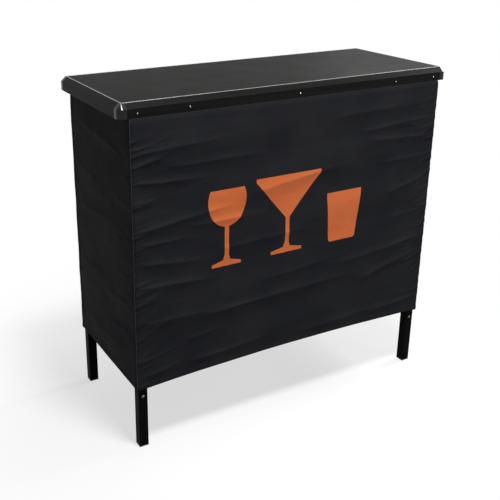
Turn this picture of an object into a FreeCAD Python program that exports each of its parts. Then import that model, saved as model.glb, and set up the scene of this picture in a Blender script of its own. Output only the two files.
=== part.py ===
"""Portable bar: a railed top on two end frames that fold inward, with a fabric skirt on three sides.

The origin is on the floor under the middle of the top. +X runs along the bar, the front faces -Y.
"""
import FreeCAD, Part
import math
import os

import Sketcher
from FreeCAD import Placement, Rotation, Vector

doc = FreeCAD.newDocument("portable_bar")
sheet = doc.addObject("Spreadsheet::Sheet", "sizes")

SIZES = (
    ("bar_length", 965),
    ("bar_depth", 381),
    ("bar_height", 900),
    ("rail_height", 35),
    ("rail_wall", 2),
    ("rail_bevel", 12),
    ("rail_lip_drop", 0.8),
    ("ledge_gap", 0.5),
    ("rail_flange", 18),
    ("bead_width", 3),
    ("bead_height", 4),
    ("bead_chamfer", 0.7),
    ("panel_thickness", 12),
    ("panel_drop", 0.7),
    ("panel_gap", 0.2),
    ("corner_length", 22),
    ("corner_radius", 13),
    ("corner_wall", 6),
    ("corner_hollow", 16),
    ("tongue_length", 40),
    ("tongue_thickness", 8),
    ("tongue_fit", 0.2),
    ("member_inset", 177.5),
    ("member_width", 30),
    ("member_wall", 1.5),
    ("rivet_radius", 2.4),
    ("rivet_head_radius", 3.8),
    ("rivet_head_height", 1.5),
    ("rivet_drop", 24),
    ("corner_rivet_inset", 46),
    ("leg_size", 25),
    ("leg_wall", 1.5),
    ("leg_round", 1.4),
    ("leg_end_inset", 30),
    ("leg_front_inset", 3.5),
    ("leg_above_hinge", 9),
    ("foot_flange", 3),
    ("foot_insert", 18),
    ("foot_fit", 0.25),
    ("hinge_drop", 20),
    ("hinge_step", 28),
    ("hinge_plate", 2),
    ("hinge_gap", 0.3),
    ("hinge_pin_radius", 4),
    ("hinge_head_radius", 7),
    ("hinge_head_height", 3),
    ("running_fit", 0.08),
    ("stay_thickness", 3),
    ("stay_half_width", 8),
    ("stay_leg_gap", 0.5),
    ("stay_gap", 0.4),
    ("stay_pin_radius", 3),
    ("stay_head_radius", 5),
    ("stay_head_height", 1.5),
    ("stay_bracket_half_width", 12),
    ("stay_bracket_flange", 25),
    ("crossbar_size", 20),
    ("crossbar_wall", 1.5),
    ("upper_crossbar_drop", 165),
    ("lower_crossbar_height", 240),
    ("stud_height", 148),
    ("stud_radius", 4),
    ("stud_proud", 1.4),
    ("skirt_thickness", 1.5),
    ("skirt_front_gap", 0.3),
    ("skirt_end_gap", 3.5),
    ("skirt_top_gap", 0.2),
    ("skirt_hem_height", 172),
    ("skirt_hem_arch", 12),
    ("skirt_fold_depth", 3),
    ("skirt_fold_slant", 46),
    ("tape_thickness", 1.5),
    ("tape_width", 17),
    ("tape_end_inset", 80),
)
for row, (alias, number) in enumerate(SIZES, start=1):
    sheet.set(f"A{row}", alias)
    sheet.set(f"B{row}", str(number))
    sheet.setAlias(f"B{row}", alias)
doc.recompute()

# Places worked out from the driving sizes, as expressions.
HALF_LENGTH = "(sizes.bar_length / 2)"
HALF_DEPTH = "(sizes.bar_depth / 2)"
RAIL_BOTTOM = "(sizes.bar_height - sizes.rail_height)"
FLANGE_TOP = f"({RAIL_BOTTOM} + sizes.rail_wall)"
LEDGE_REACH = "(sizes.corner_length - sizes.ledge_gap)"
LEDGE_TOP = "(sizes.bar_height - sizes.panel_drop - sizes.panel_thickness)"
LEDGE_BOTTOM = f"({LEDGE_TOP} - sizes.rail_wall)"
BEAD_SEAT = "(sizes.bar_height - sizes.bead_height)"
BEVEL_TOP = "(sizes.bar_height - sizes.rail_lip_drop)"
BEVEL_FOOT = f"({BEVEL_TOP} - sizes.rail_bevel)"
PANEL_INSET = "(sizes.rail_bevel + sizes.bead_width)"
MEMBER_PLACE = f"({HALF_LENGTH} - sizes.member_inset)"
RIVET_HEIGHT = "(sizes.bar_height - sizes.rivet_drop)"
LEG_PLACE = f"({HALF_LENGTH} - sizes.leg_end_inset - sizes.leg_size / 2)"
LEG_OUTER = f"({HALF_DEPTH} - sizes.leg_front_inset)"
LEG_INNER = f"({LEG_OUTER} - sizes.leg_size)"
LEG_BORE = "(sizes.leg_size - 2 * sizes.leg_wall)"
STAY_REACH = f"({LEG_PLACE} - {MEMBER_PLACE})"
STAY_LENGTH = f"({STAY_REACH} / sqrt(2))"
LOWER_STAY_FACE = f"({LEG_INNER} - sizes.stay_leg_gap)"
UPPER_STAY_FACE = f"({LOWER_STAY_FACE} - sizes.stay_thickness - sizes.stay_gap)"
STAY_BRACKET_FACE = f"({UPPER_STAY_FACE} - sizes.stay_thickness - sizes.stay_gap)"
OUTER_CHEEK_FACE = f"({LEG_OUTER} + sizes.hinge_gap)"
INNER_CHEEK_FACE = f"({LEG_INNER} - sizes.hinge_gap - sizes.hinge_plate)"
SKIRT_FRONT = f"({HALF_DEPTH} + sizes.skirt_front_gap)"
SKIRT_END = f"({HALF_LENGTH} - sizes.leg_end_inset + sizes.skirt_end_gap)"
SKIRT_TOP = f"({RAIL_BOTTOM} - sizes.skirt_top_gap - sizes.tape_thickness)"
TAPE_HALF = f"({HALF_LENGTH} - sizes.tape_end_inset)"
LEFT_HINGE = f"({RAIL_BOTTOM} - sizes.hinge_drop)"
RIGHT_HINGE = f"({LEFT_HINGE} - sizes.hinge_step)"

FRONT_BACK = Vector(0, 1, 0)
LEFT_RIGHT = Vector(1, 0, 0)
THROUGH_ALL = 1
LEVEL_TOLERANCE = 0.01
STAY_TURN = 45
HALF_TURN = 180
CUT_START = "1"
nodes = []


def value(expression):
    return float(sheet.evalExpression(expression))


def node(item):
    nodes.append(item)
    return item


def new_body(label):
    body = doc.addObject("PartDesign::Body", label)
    body.Label = label
    return body


def new_sketch(body, role, offset="0"):
    """A sketch on one of the body's own origin planes, moved along the plane's normal."""
    sketch = body.newObject("Sketcher::SketchObject", f"{body.Name}_sketch")
    planes = {feature.Role: feature for feature in body.Origin.OriginFeatures}
    sketch.AttachmentSupport = [(planes[role], "")]
    sketch.MapMode = "FlatFace"
    sketch.setExpression("AttachmentOffset.Base.z", offset)
    return sketch


def hold_point(sketch, geometry, position, place, kinds=("DistanceX", "DistanceY")):
    for kind, expression in zip(("DistanceX", "DistanceY"), place):
        if kind in kinds:
            rule = Sketcher.Constraint(kind, -1, 1, geometry, position, value(expression))
            index = sketch.addConstraint(rule)
            sketch.setExpression(f"Constraints[{index}]", expression)


def add_outline(sketch, points, arcs=None):
    """A closed outline, anticlockwise where it has arcs: arcs gives the centre of a round segment."""
    arcs = arcs or {}
    first = sketch.GeometryCount
    places = [Vector(value(across), value(up), 0) for across, up in points]
    count = len(points)
    for index in range(count):
        start = places[index]
        end = places[(index + 1) % count]
        if index in arcs:
            centre = Vector(value(arcs[index][0]), value(arcs[index][1]), 0)
            from_angle = math.atan2(start.y - centre.y, start.x - centre.x)
            to_angle = math.atan2(end.y - centre.y, end.x - centre.x)
            if to_angle < from_angle:
                to_angle += 2 * math.pi
            circle = Part.Circle(centre, Vector(0, 0, 1), (start - centre).Length)
            sketch.addGeometry(Part.ArcOfCircle(circle, from_angle, to_angle), False)
        else:
            sketch.addGeometry(Part.LineSegment(start, end), False)
    for index in range(count):
        following = first + (index + 1) % count
        sketch.addConstraint(Sketcher.Constraint("Coincident", first + index, 2, following, 1))
    for index, place in enumerate(points):
        hold_point(sketch, first + index, 1, place)
    for index, (across, up, kind) in arcs.items():
        hold_point(sketch, first + index, 3, (across, up), (kind,))


def add_rectangle(sketch, left, bottom, right, top):
    add_outline(sketch, ((left, bottom), (right, bottom), (right, top), (left, top)))


def add_square(sketch, across, up, size):
    half = f"({size}) / 2"
    add_rectangle(
        sketch,
        f"({across}) - {half}",
        f"({up}) - {half}",
        f"({across}) + {half}",
        f"({up}) + {half}",
    )


def add_circle(sketch, across, up, radius):
    centre = Vector(value(across), value(up), 0)
    index = sketch.addGeometry(Part.Circle(centre, Vector(0, 0, 1), value(radius)), False)
    hold_point(sketch, index, 3, (across, up))
    rule = sketch.addConstraint(Sketcher.Constraint("Radius", index, value(radius)))
    sketch.setExpression(f"Constraints[{rule}]", radius)


def add_tab(sketch, across, half_width, pivot, top):
    """A hanging tab with a round lower end about its pivot."""
    left = f"({across}) - ({half_width})"
    right = f"({across}) + ({half_width})"
    outline = ((left, pivot), (right, pivot), (right, top), (left, top))
    add_outline(sketch, outline, {0: (across, pivot, "DistanceY")})


def pad(body, sketch, length):
    feature = body.newObject("PartDesign::Pad", f"{body.Name}_pad")
    feature.Profile = sketch
    feature.setExpression("Length", length)
    return feature


def pocket(body, sketch, length=None, reverse=False):
    """A cut against the sketch's normal, or along it if reversed; through everything with no length."""
    doc.recompute()
    before = body.Shape.Volume
    feature = body.newObject("PartDesign::Pocket", f"{body.Name}_pocket")
    feature.Profile = sketch
    feature.Reversed = reverse
    if length is None:
        feature.Type = THROUGH_ALL
    else:
        feature.setExpression("Length", length)
    doc.recompute()
    if body.Shape.Volume >= before:
        raise RuntimeError(f"a pocket in {body.Label} cut nothing")
    return feature


def dress_edges(body, kind, base, chosen, size_name, size):
    """A fillet or chamfer on the chosen edges of a feature."""
    doc.recompute()
    names = [f"Edge{i}" for i, edge in enumerate(base.Shape.Edges, start=1) if chosen(edge)]
    feature = body.newObject(f"PartDesign::{kind}", f"{body.Name}_{kind.lower()}")
    feature.Base = (base, names)
    feature.setExpression(size_name, size)
    return feature


def mirror(label, source, normal):
    copy = doc.addObject("Part::Mirroring", label)
    copy.Source = source
    copy.Normal = normal
    copy.Label = label
    return copy


def group(label, members):
    compound = doc.addObject("Part::Compound", label)
    compound.Links = members
    compound.Label = label
    return compound


def bind_place(item, across, along, up):
    item.setExpression("Placement.Base.x", across)
    item.setExpression("Placement.Base.y", along)
    item.setExpression("Placement.Base.z", up)


def disc(name, kind, across, along, up, radius, length, end_radius=None):
    """A cylinder or cone whose axis runs towards the front from the given point."""
    item = doc.addObject(kind, name)
    item.Placement = Placement(Vector(), Rotation(Vector(1, 0, 0), 90))
    bind_place(item, across, along, up)
    if end_radius is None:
        item.setExpression("Radius", radius)
    else:
        item.setExpression("Radius1", radius)
        item.setExpression("Radius2", end_radius)
    item.setExpression("Height", length)
    return item


def at_height(level):
    def chosen(edge):
        return all(abs(vertex.Z - level) < LEVEL_TOLERANCE for vertex in edge.Vertexes)

    return chosen


def rail_outline(sign, half):
    """The rail's open section: web, bevel, seat for the bead, panel ledge and lower flange."""
    wall = "sizes.rail_wall"
    inner_wall = f"({PANEL_INSET} - {wall})"
    slope_shift = f"({wall} * sqrt(2))"
    inner_top = f"({BEAD_SEAT} - {wall})"
    profile = (
        ("0", RAIL_BOTTOM),
        ("0", BEVEL_FOOT),
        ("sizes.rail_bevel", BEVEL_TOP),
        ("sizes.rail_bevel", BEAD_SEAT),
        (PANEL_INSET, BEAD_SEAT),
        (PANEL_INSET, LEDGE_TOP),
        (LEDGE_REACH, LEDGE_TOP),
        (LEDGE_REACH, LEDGE_BOTTOM),
        (inner_wall, LEDGE_BOTTOM),
        (inner_wall, inner_top),
        (f"({inner_top} - {BEVEL_FOOT} + {slope_shift})", inner_top),
        (wall, f"({BEVEL_FOOT} + {wall} - {slope_shift})"),
        (wall, FLANGE_TOP),
        ("sizes.rail_flange", FLANGE_TOP),
        ("sizes.rail_flange", RAIL_BOTTOM),
    )
    return [(f"{sign} * ({half} - {inward})", up) for inward, up in profile]


def make_long_rails():
    body = new_body("front_rail")
    sketch = new_sketch(body, "YZ_Plane", f"sizes.corner_length - {HALF_LENGTH}")
    add_outline(sketch, rail_outline(-1, HALF_DEPTH))
    pad(body, sketch, "sizes.bar_length - 2 * sizes.corner_length")
    holes = new_sketch(body, "XZ_Plane", f"{HALF_DEPTH} + {CUT_START}")
    for place in rivet_places():
        add_circle(holes, place, RIVET_HEIGHT, "sizes.rivet_radius")
    pocket(body, holes, f"sizes.rail_wall + 2 * {CUT_START}")
    node(body)
    node(mirror("back_rail", body, FRONT_BACK))


def make_end_rails():
    body = new_body("left_rail")
    sketch = new_sketch(body, "XZ_Plane", f"sizes.corner_length - {HALF_DEPTH}")
    add_outline(sketch, rail_outline(-1, HALF_LENGTH))
    pad(body, sketch, "sizes.bar_depth - 2 * sizes.corner_length")
    node(body)
    node(mirror("right_rail", body, LEFT_RIGHT))


def rivet_places():
    corner = f"({HALF_LENGTH} - sizes.corner_rivet_inset)"
    return (f"-{corner}", f"-{MEMBER_PLACE}", "0", MEMBER_PLACE, corner)


def make_rivets():
    """Rivets with low heads through the long rails, at the corner tongues and the cross members."""
    grip = "sizes.rail_wall + sizes.member_wall"
    corner_grip = "sizes.rail_wall + sizes.tongue_fit + sizes.tongue_thickness"
    made = {"front": [], "back": []}
    for index, place in enumerate(rivet_places()):
        at_corner = index in (0, len(rivet_places()) - 1)
        length = corner_grip if at_corner else grip
        shank = disc(
            f"front_shank_{index}",
            "Part::Cylinder",
            place,
            f"{length} - {HALF_DEPTH}",
            RIVET_HEIGHT,
            "sizes.rivet_radius",
            length,
        )
        head = disc(
            f"rivet_head_{index}",
            "Part::Cone",
            place,
            f"-{HALF_DEPTH}",
            RIVET_HEIGHT,
            "sizes.rivet_head_radius",
            "sizes.rivet_head_height",
            "sizes.rivet_radius",
        )
        headed = doc.addObject("Part::Fuse", f"headed_rivet_{index}")
        headed.Base = shank
        headed.Tool = head
        made["back"].append(mirror(f"back_rivet_{index}", headed, FRONT_BACK))
        made["front"].append(headed)
    node(group("front_rail_rivets", made["front"]))
    node(group("back_rail_rivets", made["back"]))


def make_corner_blocks():
    """Moulded corner: rounded and bevelled outside, hollow below, with a tongue into each rail."""
    body = new_body("front_left_corner")
    left = f"(-{HALF_LENGTH})"
    front = f"(-{HALF_DEPTH})"
    inner_x = f"({left} + sizes.corner_length)"
    inner_y = f"({front} + sizes.corner_length)"
    round_x = f"({left} + sizes.corner_radius)"
    round_y = f"({front} + sizes.corner_radius)"
    sketch = new_sketch(body, "XY_Plane", RAIL_BOTTOM)
    outline = ((round_x, front), (inner_x, front), (inner_x, inner_y), (left, inner_y), (left, round_y))
    add_outline(sketch, outline, {4: (round_x, round_y, "DistanceX")})
    block = pad(body, sketch, "sizes.rail_height - sizes.rail_lip_drop")
    on_top = at_height(value(BEVEL_TOP))
    near_left = value(f"{left} + sizes.corner_radius / 2")
    near_front = value(f"{front} + sizes.corner_radius / 2")

    def outer_top(edge):
        middle = edge.CenterOfMass
        return on_top(edge) and (middle.x < near_left or middle.y < near_front)

    dress_edges(body, "Chamfer", block, outer_top, "Size", "sizes.rail_bevel")
    past_x = f"({inner_x} + {CUT_START})"
    past_y = f"({inner_y} + {CUT_START})"
    steps = (
        ("sizes.rail_bevel", "sizes.bead_height"),
        (PANEL_INSET, "sizes.panel_drop + sizes.panel_thickness"),
    )
    for inset, depth in steps:
        step = new_sketch(body, "XY_Plane", f"sizes.bar_height + {CUT_START}")
        add_rectangle(step, f"{left} + {inset}", f"{front} + {inset}", past_x, past_y)
        pocket(body, step, f"{depth} + {CUT_START}")
    hollow = new_sketch(body, "XY_Plane", f"{RAIL_BOTTOM} - {CUT_START}")
    wall = "sizes.corner_wall"
    add_rectangle(hollow, f"{left} + {wall}", f"{front} + {wall}", f"{inner_x} - {wall}", f"{inner_y} - {wall}")
    pocket(body, hollow, f"sizes.corner_hollow + {CUT_START}", reverse=True)
    tongues = new_sketch(body, "XY_Plane", f"{FLANGE_TOP} + sizes.tongue_fit")
    near = "(sizes.rail_wall + sizes.tongue_fit)"
    far = f"({near} + sizes.tongue_thickness)"
    add_rectangle(tongues, inner_x, f"{front} + {near}", f"{inner_x} + sizes.tongue_length", f"{front} + {far}")
    add_rectangle(tongues, f"{left} + {near}", inner_y, f"{left} + {far}", f"{inner_y} + sizes.tongue_length")
    pad(body, tongues, f"{LEDGE_BOTTOM} - {FLANGE_TOP} - 2 * sizes.tongue_fit")
    holes = new_sketch(body, "XZ_Plane", f"{HALF_DEPTH} + {CUT_START}")
    add_circle(holes, rivet_places()[0], RIVET_HEIGHT, "sizes.rivet_radius")
    pocket(body, holes, f"{far} + 2 * {CUT_START}")
    right = mirror("front_right_corner", body, LEFT_RIGHT)
    node(body)
    node(right)
    node(mirror("back_left_corner", body, FRONT_BACK))
    node(mirror("back_right_corner", right, FRONT_BACK))


def make_bead():
    """The bright bead round the panel, one strip with small round corners."""
    body = new_body("edge_bead")
    sketch = new_sketch(body, "XY_Plane", BEAD_SEAT)
    x = f"({HALF_LENGTH} - sizes.rail_bevel)"
    y = f"({HALF_DEPTH} - sizes.rail_bevel)"
    turn = "(sizes.corner_radius - sizes.rail_bevel)"
    x_turn = f"({x} - {turn})"
    y_turn = f"({y} - {turn})"
    outline = (
        (f"-{x_turn}", f"-{y}"),
        (x_turn, f"-{y}"),
        (x, f"-{y_turn}"),
        (x, y_turn),
        (x_turn, y),
        (f"-{x_turn}", y),
        (f"-{x}", y_turn),
        (f"-{x}", f"-{y_turn}"),
    )
    arcs = {
        1: (x_turn, f"-{y_turn}", "DistanceX"),
        3: (x_turn, y_turn, "DistanceX"),
        5: (f"-{x_turn}", y_turn, "DistanceX"),
        7: (f"-{x_turn}", f"-{y_turn}", "DistanceX"),
    }
    add_outline(sketch, outline, arcs)
    inner_x = f"({HALF_LENGTH} - {PANEL_INSET})"
    inner_y = f"({HALF_DEPTH} - {PANEL_INSET})"
    add_rectangle(sketch, f"-{inner_x}", f"-{inner_y}", inner_x, inner_y)
    strip = pad(body, sketch, "sizes.bead_height")
    dress_edges(body, "Chamfer", strip, at_height(value("sizes.bar_height")), "Size", "sizes.bead_chamfer")
    node(body)


def make_panel():
    panel = doc.addObject("Part::Box", "top_panel")
    panel.Label = "top_panel"
    inset = f"({PANEL_INSET} + sizes.panel_gap)"
    panel.setExpression("Length", f"sizes.bar_length - 2 * {inset}")
    panel.setExpression("Width", f"sizes.bar_depth - 2 * {inset}")
    panel.setExpression("Height", "sizes.panel_thickness")
    bind_place(panel, f"{inset} - {HALF_LENGTH}", f"{inset} - {HALF_DEPTH}", LEDGE_TOP)
    node(panel)


def make_cross_member(label, place):
    """A pressed steel tray, open below, that fits between the rails' ledges and flanges."""
    body = new_body(label)
    height = f"({LEDGE_BOTTOM} - {FLANGE_TOP})"
    half = "(sizes.member_width / 2)"
    end = f"({HALF_DEPTH} - sizes.rail_wall)"
    wall = "sizes.member_wall"
    sketch = new_sketch(body, "XY_Plane", FLANGE_TOP)
    add_rectangle(sketch, f"{place} - {half}", f"-{end}", f"{place} + {half}", end)
    pad(body, sketch, height)
    hollow = new_sketch(body, "XY_Plane", f"{FLANGE_TOP} - {CUT_START}")
    inner = f"({half} - {wall})"
    inner_end = f"({end} - {wall})"
    add_rectangle(hollow, f"{place} - {inner}", f"-{inner_end}", f"{place} + {inner}", inner_end)
    pocket(body, hollow, f"{height} - {wall} + {CUT_START}", reverse=True)
    holes = new_sketch(body, "XZ_Plane", f"{HALF_DEPTH} + {CUT_START}")
    add_circle(holes, place, RIVET_HEIGHT, "sizes.rivet_radius")
    pocket(body, holes)
    node(body)


def make_hinge(side, sign, hinge):
    """A steel bracket over each leg's top and the pin that the leg turns on."""
    place = f"{sign} * {LEG_PLACE}"
    half = "(sizes.leg_size / 2)"
    plate_bottom = f"({RAIL_BOTTOM} - sizes.hinge_plate)"
    bore = "(sizes.hinge_pin_radius)"
    body = new_body(f"{side}_front_hinge_bracket")
    sketch = new_sketch(body, "XY_Plane", plate_bottom)
    outer = f"({OUTER_CHEEK_FACE} + sizes.hinge_plate)"
    add_rectangle(sketch, f"{place} - {half}", f"-{outer}", f"{place} + {half}", f"-{INNER_CHEEK_FACE}")
    pad(body, sketch, "sizes.hinge_plate")
    for face in (OUTER_CHEEK_FACE, INNER_CHEEK_FACE):
        cheek = new_sketch(body, "XZ_Plane", face)
        add_tab(cheek, place, half, hinge, f"({plate_bottom} + sizes.hinge_plate / 2)")
        add_circle(cheek, place, hinge, bore)
        pad(body, cheek, "sizes.hinge_plate")
    node(body)
    node(mirror(f"{side}_back_hinge_bracket", body, FRONT_BACK))
    pin = new_body(f"{side}_front_hinge_pin")
    shank = new_sketch(pin, "XZ_Plane", INNER_CHEEK_FACE)
    add_circle(shank, place, hinge, bore)
    pad(pin, shank, f"{outer} - {INNER_CHEEK_FACE}")
    head = new_sketch(pin, "XZ_Plane", f"{INNER_CHEEK_FACE} - sizes.hinge_head_height")
    add_circle(head, place, hinge, "sizes.hinge_head_radius")
    pad(pin, head, "sizes.hinge_head_height")
    other = mirror(f"{side}_back_hinge_pin", pin, FRONT_BACK)
    node(group(f"{side}_hinge_pins", [pin, other]))


def make_leg_frame(side, sign, hinge):
    """Two square tubes, two crossbars between them, foot plugs and the front leg's stud."""
    place = f"{sign} * {LEG_PLACE}"
    middle = f"(-{LEG_OUTER} + sizes.leg_size / 2)"
    body = new_body(f"{side}_front_leg")
    sketch = new_sketch(body, "XY_Plane", "sizes.foot_flange")
    add_square(sketch, place, middle, "sizes.leg_size")
    add_square(sketch, place, middle, LEG_BORE)
    tube = pad(body, sketch, f"{hinge} + sizes.leg_above_hinge - sizes.foot_flange")
    reach = value("sizes.leg_size / 2 - sizes.leg_wall / 2")
    centre = Vector(value(place), value(middle), 0)

    def outer_upright(edge):
        offset = edge.CenterOfMass - centre
        upright = abs(edge.Vertexes[0].Z - edge.Vertexes[-1].Z) > value("sizes.leg_size")
        return upright and min(abs(offset.x), abs(offset.y)) > reach

    dress_edges(body, "Fillet", tube, outer_upright, "Radius", "sizes.leg_round")
    bore = new_sketch(body, "XZ_Plane", f"{HALF_DEPTH} + {CUT_START}")
    add_circle(bore, place, hinge, "sizes.hinge_pin_radius + sizes.running_fit")
    pocket(body, bore)
    stay_hole = new_sketch(body, "XZ_Plane", f"{LEG_INNER} + sizes.leg_wall + {CUT_START}")
    add_circle(stay_hole, place, f"{hinge} - {STAY_REACH}", "sizes.stay_pin_radius")
    pocket(body, stay_hole, f"sizes.leg_wall + 2 * {CUT_START}")
    node(body)
    node(mirror(f"{side}_back_leg", body, FRONT_BACK))
    foot = new_body(f"{side}_front_foot")
    flange = new_sketch(foot, "XY_Plane")
    add_square(flange, place, middle, "sizes.leg_size")
    pad(foot, flange, "sizes.foot_flange")
    insert = new_sketch(foot, "XY_Plane", "sizes.foot_flange")
    add_square(insert, place, middle, f"{LEG_BORE} - 2 * sizes.foot_fit")
    pad(foot, insert, "sizes.foot_insert")
    node(foot)
    node(mirror(f"{side}_back_foot", foot, FRONT_BACK))
    levels = (
        ("upper", f"{hinge} - sizes.upper_crossbar_drop"),
        ("lower", "sizes.lower_crossbar_height"),
    )
    for name, level in levels:
        bar = new_body(f"{side}_{name}_crossbar")
        section = new_sketch(bar, "XZ_Plane", f"-{LEG_INNER}")
        add_square(section, place, level, "sizes.crossbar_size")
        add_square(section, place, level, "sizes.crossbar_size - 2 * sizes.crossbar_wall")
        pad(bar, section, f"2 * {LEG_INNER}")
        node(bar)
    stud = disc(
        f"{side}_leg_stud",
        "Part::Cone",
        place,
        f"-{LEG_OUTER}",
        "sizes.stud_height",
        "sizes.stud_radius",
        "sizes.stud_proud",
        "sizes.stud_radius / 2",
    )
    stud.Label = f"{side}_leg_stud"
    node(stud)


def make_link(label, across, face, up, turn):
    """A flat stay link from its pivot, turned in the upright plane, with a hole at the pivot."""
    body = new_body(label)
    radius = "sizes.stay_half_width"
    sketch = new_sketch(body, "XZ_Plane")
    outline = (("0", f"-{radius}"), (STAY_LENGTH, f"-{radius}"), (STAY_LENGTH, radius), ("0", radius))
    add_outline(sketch, outline, {1: (STAY_LENGTH, "0", "DistanceX"), 3: ("0", "0", "DistanceX")})
    add_circle(sketch, "0", "0", "sizes.stay_pin_radius + sizes.running_fit")
    pad(body, sketch, "sizes.stay_thickness")
    body.Placement = Placement(Vector(), Rotation(Vector(0, -1, 0), turn))
    bind_place(body, across, f"sizes.stay_thickness - {face}", up)
    node(body)
    return body


def make_stays(side, sign, hinge):
    """Two-link stays: straight at 45 degrees when open, folded flat against the leg when shut."""
    leg_pivot = f"({hinge} - {STAY_REACH})"
    leg_place = f"{sign} * {LEG_PLACE}"
    top_place = f"{sign} * {MEMBER_PLACE}"
    knee_place = f"{sign} * ({LEG_PLACE} + {MEMBER_PLACE}) / 2"
    knee_height = f"({hinge} - {STAY_REACH} / 2)"
    lower_turn = STAY_TURN if sign < 0 else HALF_TURN - STAY_TURN
    lower = make_link(f"{side}_front_lower_stay", leg_place, LOWER_STAY_FACE, leg_pivot, lower_turn)
    node(mirror(f"{side}_back_lower_stay", lower, FRONT_BACK))
    upper = make_link(f"{side}_front_upper_stay", top_place, UPPER_STAY_FACE, hinge, lower_turn + HALF_TURN)
    node(mirror(f"{side}_back_upper_stay", upper, FRONT_BACK))
    bracket = new_body(f"{side}_front_stay_bracket")
    inner = f"({STAY_BRACKET_FACE} - sizes.stay_thickness)"
    flange = new_sketch(bracket, "XY_Plane", RAIL_BOTTOM)
    half = "(sizes.member_width / 2)"
    back = f"({STAY_BRACKET_FACE} - sizes.stay_bracket_flange)"
    add_rectangle(flange, f"{top_place} - {half}", f"-{STAY_BRACKET_FACE}", f"{top_place} + {half}", f"-{back}")
    pad(bracket, flange, "sizes.rail_wall")
    tab = new_sketch(bracket, "XZ_Plane", inner)
    tab_top = f"({RAIL_BOTTOM} + sizes.rail_wall / 2)"
    add_tab(tab, top_place, "sizes.stay_bracket_half_width", hinge, tab_top)
    add_circle(tab, top_place, hinge, "sizes.stay_pin_radius")
    pad(bracket, tab, "sizes.stay_thickness")
    node(bracket)
    node(mirror(f"{side}_back_stay_bracket", bracket, FRONT_BACK))
    lower_inner = f"({LOWER_STAY_FACE} - sizes.stay_thickness)"
    upper_inner = f"({UPPER_STAY_FACE} - sizes.stay_thickness)"
    inside_leg = f"({LEG_INNER} + sizes.leg_wall)"
    head = "sizes.stay_head_height"
    pins = (
        ("leg_stay_pins", leg_place, leg_pivot, lower_inner, inside_leg, inside_leg),
        ("top_stay_pins", top_place, hinge, inner, UPPER_STAY_FACE, f"({inner} - {head})"),
        ("knee_rivets", knee_place, knee_height, upper_inner, UPPER_STAY_FACE, f"({upper_inner} - {head})"),
    )
    for name, across, up, start, end, head_start in pins:
        pin = new_body(f"{side}_front_{name}")
        shank = new_sketch(pin, "XZ_Plane", start)
        add_circle(shank, across, up, "sizes.stay_pin_radius")
        pad(pin, shank, f"{end} - {start}")
        cap = new_sketch(pin, "XZ_Plane", head_start)
        add_circle(cap, across, up, "sizes.stay_head_radius")
        pad(pin, cap, head)
        node(group(f"{side}_{name}", [pin, mirror(f"{side}_back_{name}", pin, FRONT_BACK)]))
    knee_hole = new_sketch(upper, "XZ_Plane", f"-{CUT_START}")
    add_circle(knee_hole, STAY_LENGTH, "0", "sizes.stay_pin_radius")
    pocket(upper, knee_hole, f"sizes.stay_thickness + 2 * {CUT_START}", reverse=True)


FOLD_LEVELS = (0.0, 0.2, 0.42, 0.63, 0.82, 1.0)
FRONT_STATIONS = (-1.0, -0.72, -0.36, 0.0, 0.36, 0.72, 1.0)
END_STATIONS = (-1.0, -0.5, 0.0, 0.5, 1.0)
EDGE_SWELL = 0.15
MEAN_SWELL = 0.6
SWELL_SWING = 0.4
FOLD_STEP = 0.7


def fold_swell(station, index):
    """How far a fold stands out, as a share of the fold depth: little at the sewn edges."""
    wander = MEAN_SWELL + SWELL_SWING * math.cos(math.pi * (station + FOLD_STEP * index))
    return EDGE_SWELL + (wander - EDGE_SWELL) * (1 - station**4)


def cloth_section(station, hem, face_point):
    """One upright cut through a hanging panel: shallow arcs outside, the same arcs inside."""
    top = value(SKIRT_TOP)
    slant = value("sizes.skirt_fold_slant") * station
    depth = value("sizes.skirt_fold_depth")
    thickness = value("sizes.skirt_thickness")
    heights = [hem + level * (top - hem) for level in FOLD_LEVELS]
    for index in range(1, len(heights) - 1):
        heights[index] += slant
    edges = []
    for outward in (thickness, 0.0):
        for index, (low, high) in enumerate(zip(heights, heights[1:])):
            bulge = outward + depth * fold_swell(station, index)
            points = (
                face_point(outward, low),
                face_point(bulge, (low + high) / 2),
                face_point(outward, high),
            )
            edges.append(Part.Arc(*points).toShape())
    for height in (heights[0], heights[-1]):
        edges.append(Part.makeLine(face_point(thickness, height), face_point(0.0, height)))
    return Part.Wire(Part.__sortEdges__(edges))


def cloth_panel(label, sections):
    shape = Part.makeLoft(sections, True, False)
    panel = doc.addObject("Part::Feature", label)
    panel.Label = label
    panel.Shape = shape
    return panel


def make_skirt():
    """Three hanging panels and the hook tape that holds them up under the front rail."""
    front = value(SKIRT_FRONT)
    end = value(SKIRT_END)
    thickness = value("sizes.skirt_thickness")
    hem = value("sizes.skirt_hem_height")
    arch = value("sizes.skirt_hem_arch")
    half = end + thickness
    sections = []
    for station in FRONT_STATIONS:
        across = station * half
        lift = arch * (1 - station * station)

        def face_point(outward, height, across=across):
            return Vector(across, -front - outward, height)

        sections.append(cloth_section(station, hem + lift, face_point))
    node(cloth_panel("skirt_front_panel", sections))
    sections = []
    back = value(LEG_OUTER)
    for station in END_STATIONS:
        along = station * (back + front) / 2 + (back - front) / 2

        def face_point(outward, height, along=along):
            return Vector(-end - outward, along, height)

        sections.append(cloth_section(station, hem, face_point))
    left = node(cloth_panel("skirt_left_panel", sections))
    node(mirror("skirt_right_panel", left, LEFT_RIGHT))
    tape = doc.addObject("Part::Box", "skirt_hook_tape")
    tape.Label = "skirt_hook_tape"
    tape.setExpression("Length", f"2 * {TAPE_HALF}")
    tape.setExpression("Width", "sizes.tape_width")
    tape.setExpression("Height", "sizes.tape_thickness")
    bind_place(tape, f"-{TAPE_HALF}", f"-{SKIRT_FRONT} - sizes.skirt_thickness", SKIRT_TOP)
    node(tape)


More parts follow.
